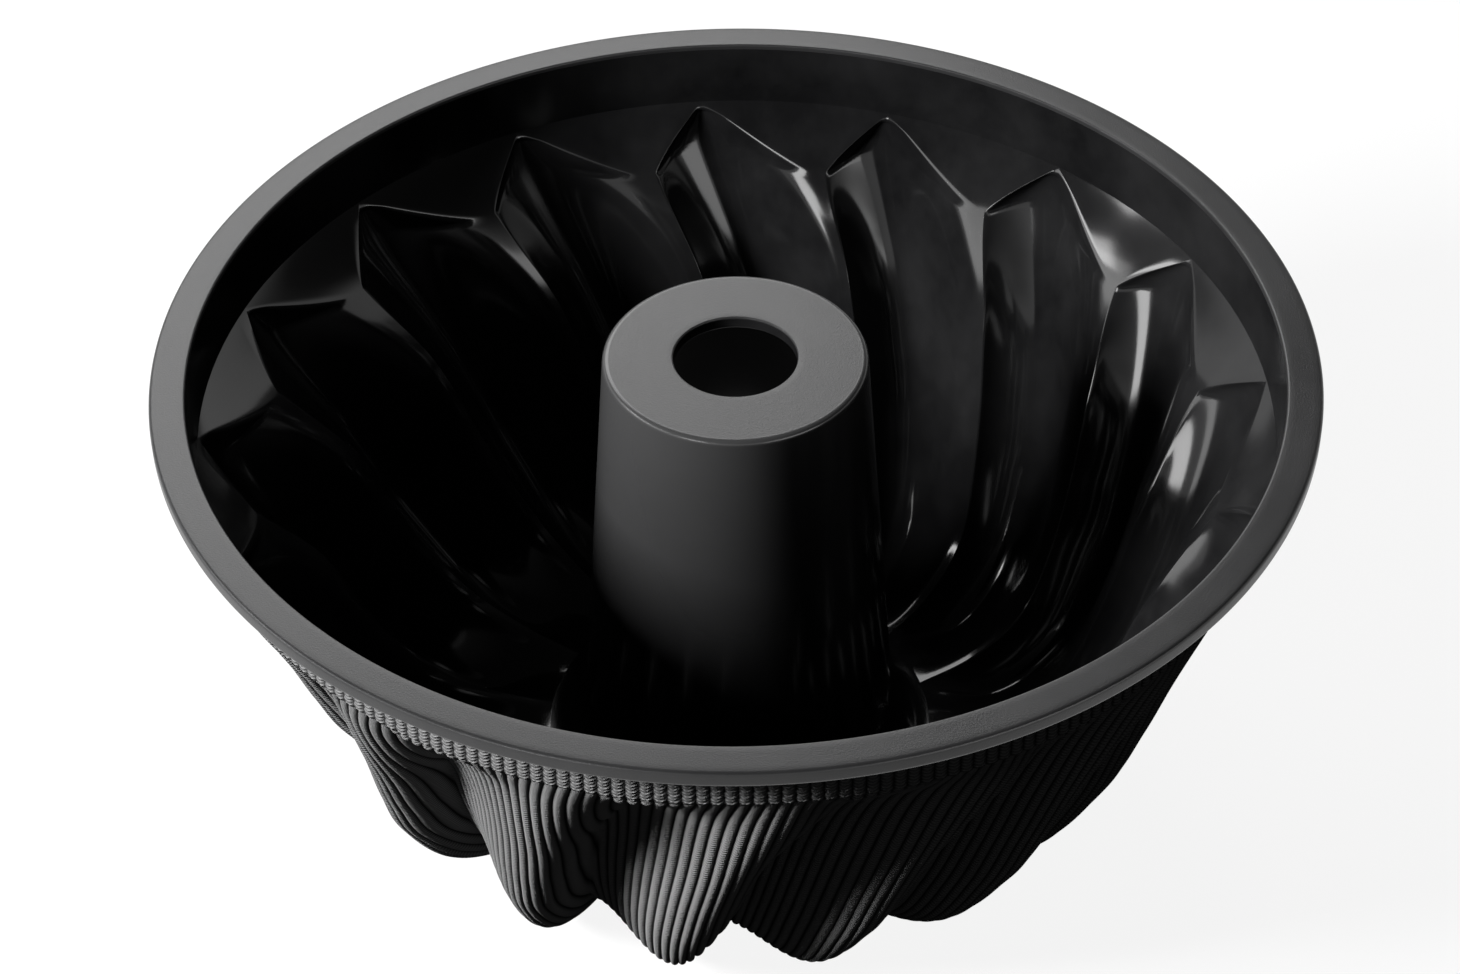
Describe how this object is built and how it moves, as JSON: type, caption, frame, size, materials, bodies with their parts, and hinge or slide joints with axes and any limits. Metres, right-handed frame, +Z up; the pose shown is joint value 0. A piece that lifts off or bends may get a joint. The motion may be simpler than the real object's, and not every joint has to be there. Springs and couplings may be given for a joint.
{
  "type": "ring cake mould",
  "caption": "Deep ring cake mould in black rubber, with a flat rim, leaning twisted flutes, a smooth band under the rim and a tapered open chimney.",
  "frame": {"origin": "on the mould's axis at the level of its feet, the bottom centre of its bounding box", "axes": "+Z up out of the mould's mouth along the chimney's axis; +X to the right and +Y away from the viewer of the picture"},
  "size_m": [0.25, 0.25, 0.115],
  "materials": {
    "black_rubber": "black silicone, glossy on the cake's side, satin on the rim, ribbed and matte outside",
    "ring_steel": "drawn steel wire, sealed in the rubber"
  },
  "bodies": {
    "root": {"mould_body": "black_rubber", "rim_ring": "ring_steel"}
  },
  "joints": []
}
